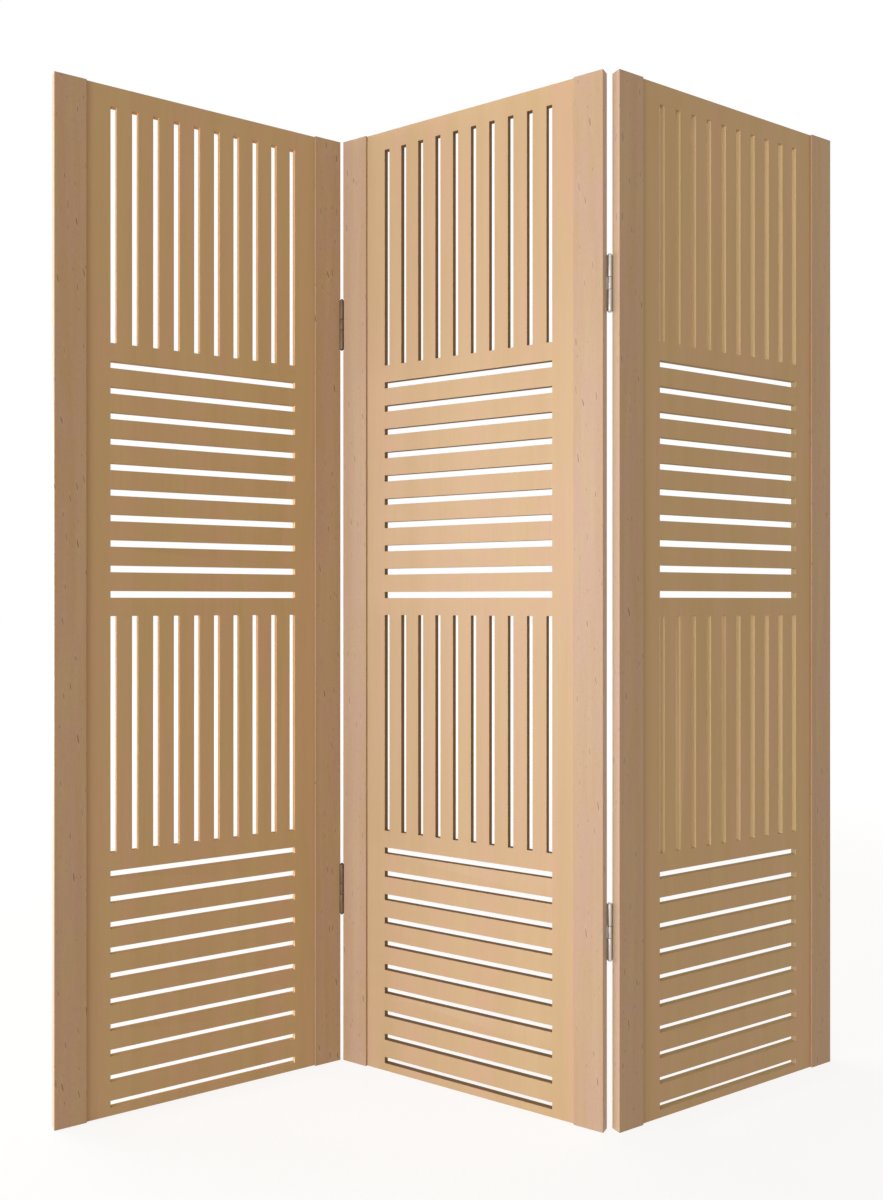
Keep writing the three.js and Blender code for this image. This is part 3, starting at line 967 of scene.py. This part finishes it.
class FOLDING_SCREEN_OT_dress_boards(bpy.types.Operator):
    """Give the three slotted boards their golden wood and soften their edges"""

    bl_idname = "folding_screen.dress_boards"
    bl_label = "Slotted boards"

    def execute(self, context):
        finish = context.scene.screen_finish
        for i, leaf in enumerate(LEAVES):
            name = f"{leaf}_leaf_slotted_board"
            wood = board_wood(
                f"{name}_wood", leaf, 1 + i, finish,
                # painted sheen on the centre leaf and painted light on the right leaf
                painted_light=leaf_painted_light(leaf, finish),
                # painted shade on the slot walls of the centre board
                centre_wall_painted_shade=finish.centre_wall_painted_shade if leaf == "centre" else 0.0,
                # painted shade on the slot walls of the right board
                right_wall_painted_shade=finish.right_wall_painted_shade if leaf == "right" else 0.0,
                # painted shade on the ends of the right board's level slots
                slot_end_painted_shade=finish.slot_end_painted_shade if leaf == "right" else 0.0)
            soften(dress(name, wood), context.scene.screen_sizes.wood_rounding)
        return {"FINISHED"}


class FOLDING_SCREEN_OT_make_flaps(bpy.types.Operator):
    """Make the eight hinge flaps with their knuckles"""

    bl_idname = "folding_screen.make_flaps"
    bl_label = "Hinge flaps"

    def execute(self, context):
        finish = context.scene.screen_finish
        drawn = {kind: flap_mesh(kind) for kind in ("middle", "outer")}
        for half, hinge, place in placed_halves():
            mesh = drawn[half.knuckles].copy()
            mesh.transform(Matrix(place))
            steel_piece(f"{hinge}_{half.owner}_flap", mesh, half, finish)
        return {"FINISHED"}


class FOLDING_SCREEN_OT_make_pins(bpy.types.Operator):
    """Make the four hinge pins with their domed tips"""

    bl_idname = "folding_screen.make_pins"
    bl_label = "Hinge pins"

    def execute(self, context):
        finish = context.scene.screen_finish
        points, faces = pin_shell()
        for half, hinge, place in placed_halves():
            if half.knuckles == "outer":
                node = f"{hinge}_pin"
                mesh = new_mesh(node, moved(points, place), faces)
                steel_piece(node, mesh, half, finish)
        return {"FINISHED"}


class FOLDING_SCREEN_OT_make_screws(bpy.types.Operator):
    """Make the twenty-four countersunk wood screws"""

    bl_idname = "folding_screen.make_screws"
    bl_label = "Wood screws"

    def execute(self, context):
        finish = context.scene.screen_finish
        points, faces = screw_shell()
        into_wood = rotation("X", -math.pi / 2)
        for half, hinge, place in placed_halves():
            for i, height in enumerate(screw_heights()):
                node = f"{hinge}_{half.owner}_screw_{i + 1}"
                own_turn = rotation("Z", math.radians(SCREW_TURNS[i]))
                drawn = moved(moved(points, own_turn), into_wood)
                drawn = drawn + (-SCREW_LINE, FLAP_FACE, height)
                mesh = new_mesh(node, moved(drawn, place), faces)
                steel_piece(node, mesh, half, finish)
        return {"FINISHED"}


class FOLDING_SCREEN_OT_set_stage(bpy.types.Operator):
    """Set the camera, the lamps, the white room and the floor"""

    bl_idname = "folding_screen.set_stage"
    bl_label = "Stage"

    def execute(self, context):
        scene = context.scene
        stage = scene.screen_stage
        scene.view_settings.view_transform = "Standard"
        scene.camera = new_camera(stage)
        softbox("key_lamp", azimuth=-58, distance=10.0, width=10.5,
                power=stage.key_power, colour=KEY_COLOUR)
        softbox("side_lamp", azimuth=-118, distance=8.0, width=6.6,
                power=stage.side_power, colour=WHITE)
        scene.world = white_room(stage.room_light)
        pale_floor()
        return {"FINISHED"}


class FOLDING_SCREEN_PT_pieces(bpy.types.Panel):
    """The steps that dress the screen, in order"""

    bl_idname = "FOLDING_SCREEN_PT_pieces"
    bl_label = "Folding screen"
    bl_space_type = "VIEW_3D"
    bl_region_type = "UI"
    bl_category = "Folding screen"

    def draw(self, context):
        for step in STEPS:
            self.layout.operator(step.bl_idname)


STEPS = (
    FOLDING_SCREEN_OT_dress_stiles,
    FOLDING_SCREEN_OT_dress_boards,
    FOLDING_SCREEN_OT_make_flaps,
    FOLDING_SCREEN_OT_make_pins,
    FOLDING_SCREEN_OT_make_screws,
    FOLDING_SCREEN_OT_set_stage,
)
SETTINGS = {
    "screen_finish": FinishSettings,
    "screen_sizes": SizeSettings,
    "screen_stage": StageSettings,
}


def register():
    for group in (*SETTINGS.values(), *STEPS, FOLDING_SCREEN_PT_pieces):
        bpy.utils.register_class(group)
    for name, group in SETTINGS.items():
        setattr(bpy.types.Scene, name, bpy.props.PointerProperty(type=group))


def unregister():
    for name in SETTINGS:
        delattr(bpy.types.Scene, name)
    for group in reversed((*SETTINGS.values(), *STEPS, FOLDING_SCREEN_PT_pieces)):
        bpy.utils.unregister_class(group)


def main():
    register()
    bpy.ops.folding_screen.dress_stiles()
    bpy.ops.folding_screen.dress_boards()
    bpy.ops.folding_screen.make_flaps()
    bpy.ops.folding_screen.make_pins()
    bpy.ops.folding_screen.make_screws()
    bpy.ops.folding_screen.set_stage()


if __name__ == "__main__":
    main()
